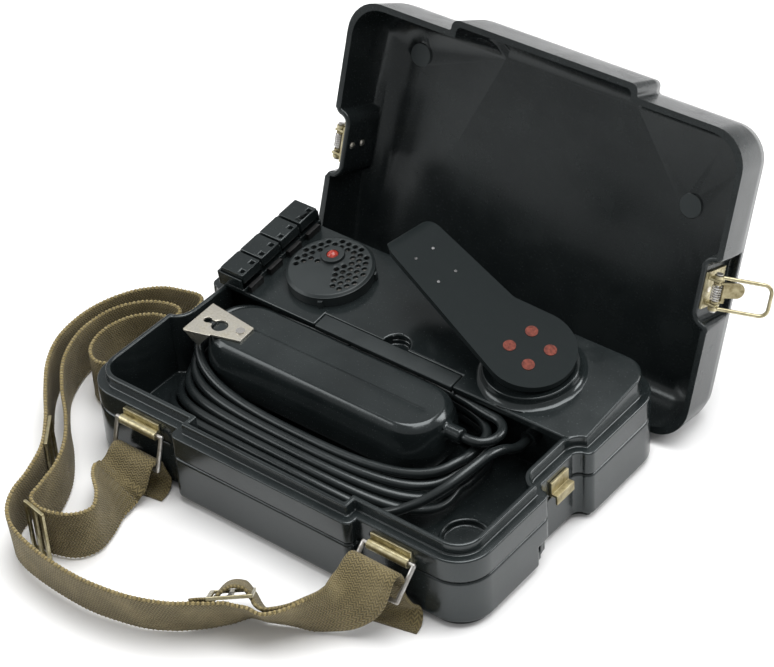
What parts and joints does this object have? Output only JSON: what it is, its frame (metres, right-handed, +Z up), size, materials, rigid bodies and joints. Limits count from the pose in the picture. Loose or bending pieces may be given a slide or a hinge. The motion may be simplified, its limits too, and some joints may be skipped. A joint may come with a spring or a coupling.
{
  "type": "field telephone",
  "caption": "Portable field telephone in a moulded case: corded handset in a well, hand-crank generator, sounder, spring terminals, webbing strap and a latching lid that stands behind.",
  "frame": {"origin": "on the floor, under the middle of the case", "axes": "+X along the front to the right, +Y to the rear, where the lid stands, +Z up"},
  "size_m": [0.2971, 0.3174, 0.1527],
  "materials": {
    "moulding": "glossy black moulding",
    "dark_panel": "satin dark grey",
    "seal_rubber": "matte black",
    "cord_rubber": "matte black sheath",
    "plated": "dull plating",
    "brass": "worn brass",
    "steel": "plain steel",
    "red_lamp": "clear red",
    "red_rivet": "dull red",
    "board": "lacquered board",
    "webbing": "woven olive webbing"
  },
  "bodies": {
    "case": {"lower_case": "moulding", "upper_case": "moulding", "case_seal": "seal_rubber", "case_screws": "steel", "catch_left": "brass", "catch_right": "brass", "battery": "steel", "sounder_cap": "dark_panel", "sounder_capsule": "steel", "signal_lamp": "red_lamp", "terminal_block": "moulding", "terminal_contacts": "brass", "circuit_board": "board", "transformer": "steel", "capacitor": "brass", "crank_bush": "brass", "generator_frame": "steel", "generator_magnet": "dark_panel", "cord_gland": "moulding", "handset_cord": "cord_rubber", "strap_brackets": "plated", "strap": "webbing", "strap_tails": "webbing", "strap_slides": "brass"},
    "cover": {"battery_cover": "dark_panel"},
    "key_1": {"terminal_key_1": "moulding"},
    "key_2": {"terminal_key_2": "moulding"},
    "key_3": {"terminal_key_3": "moulding"},
    "key_4": {"terminal_key_4": "moulding"},
    "crank": {"crank_shaft": "steel", "crank_arm": "dark_panel", "crank_rivets": "red_rivet", "knob_bracket": "steel", "drive_gear": "brass"},
    "knob": {"crank_knob": "moulding"},
    "rotor": {"generator_rotor": "brass", "rotor_pinion": "brass"},
    "handset": {"handset_back": "moulding", "handset_front": "moulding", "handset_clip": "plated", "clip_screw": "steel", "ear_cap": "moulding", "mouth_cap": "moulding", "receiver_capsule": "steel", "microphone_capsule": "steel"},
    "lid": {"lid_shell": "moulding", "lid_rivets": "brass", "latch_plate_left": "brass", "latch_plate_right": "brass", "latch_pins": "steel", "latch_spring_left": "steel", "latch_spring_right": "steel"},
    "bail_left": {"latch_bail_left": "brass"},
    "bail_right": {"latch_bail_right": "brass"},
    "tab_left": {"latch_tab_left": "brass"},
    "tab_right": {"latch_tab_right": "brass"},
    "ring_left": {"strap_ring_left": "steel", "strap_loop_left": "webbing"},
    "ring_right": {"strap_ring_right": "steel", "strap_loop_right": "webbing"}
  },
  "joints": [
    {"name": "cover_lift", "type": "slide", "parent": "case", "child": "cover", "axis": [0, 0, 1], "range_m": [0, 0.025]},
    {"name": "key_1_press", "type": "slide", "parent": "case", "child": "key_1", "axis": [0, 0.1097, -0.994], "range_m": [0, 0.0025], "stiffness_N_per_m": 800},
    {"name": "key_2_press", "type": "slide", "parent": "case", "child": "key_2", "axis": [0, 0.1097, -0.994], "range_m": [0, 0.0025], "stiffness_N_per_m": 800},
    {"name": "key_3_press", "type": "slide", "parent": "case", "child": "key_3", "axis": [0, 0.1097, -0.994], "range_m": [0, 0.0025], "stiffness_N_per_m": 800},
    {"name": "key_4_press", "type": "slide", "parent": "case", "child": "key_4", "axis": [0, 0.1097, -0.994], "range_m": [0, 0.0025], "stiffness_N_per_m": 800},
    {"name": "crank_turn", "type": "hinge", "parent": "case", "child": "crank", "pos_m": [0.062, 0.04004, 0.04688], "axis": [0, -0.1097, 0.994], "range_deg": [0, 200]},
    {"name": "knob_spin", "type": "hinge", "parent": "crank", "child": "knob", "pos_m": [0.0031, 0.04744, 0.07634], "axis": [0.2342, -0.1667, 0.9578], "continuous": true},
    {"name": "rotor_turn", "type": "hinge", "parent": "case", "child": "rotor", "pos_m": [0.0422, 0.04004, 0.04688], "axis": [0, -0.1097, 0.994], "range_deg": [-800, 0]},
    {"name": "handset_lift", "type": "slide", "parent": "case", "child": "handset", "axis": [0, 0, 1], "range_m": [0, 0.06]},
    {"name": "lid_lift", "type": "slide", "parent": "case", "child": "lid", "axis": [0, 0, 1], "range_m": [0, 0.08]},
    {"name": "bail_left_swing", "type": "hinge", "parent": "lid", "child": "bail_left", "pos_m": [-0.1005, 0.10472, 0.07495], "axis": [0, 0.3289, 0.9444], "range_deg": [-5, 165]},
    {"name": "tab_left_swing", "type": "hinge", "parent": "lid", "child": "tab_left", "pos_m": [-0.1005, 0.10472, 0.07495], "axis": [0, 0.3289, 0.9444], "range_deg": [-5, 80], "stiffness_Nm_per_rad": 0.004},
    {"name": "bail_right_swing", "type": "hinge", "parent": "lid", "child": "bail_right", "pos_m": [0.1175, 0.10472, 0.07495], "axis": [0, -0.3289, -0.9444], "range_deg": [-28, 122]},
    {"name": "tab_right_swing", "type": "hinge", "parent": "lid", "child": "tab_right", "pos_m": [0.1175, 0.10472, 0.07495], "axis": [0, -0.3289, -0.9444], "range_deg": [-20, 60], "stiffness_Nm_per_rad": 0.004},
    {"name": "ring_left_swing", "type": "hinge", "parent": "case", "child": "ring_left", "pos_m": [-0.0735, -0.0776, 0.031], "axis": [-1, 0, 0], "range_deg": [0, 30]},
    {"name": "ring_right_swing", "type": "hinge", "parent": "case", "child": "ring_right", "pos_m": [0.071, -0.0776, 0.031], "axis": [-1, 0, 0], "range_deg": [0, 25]}
  ],
  "couplings": [
    {"joint": "rotor_turn", "follows": "crank_turn", "ratio": -4}
  ]
}
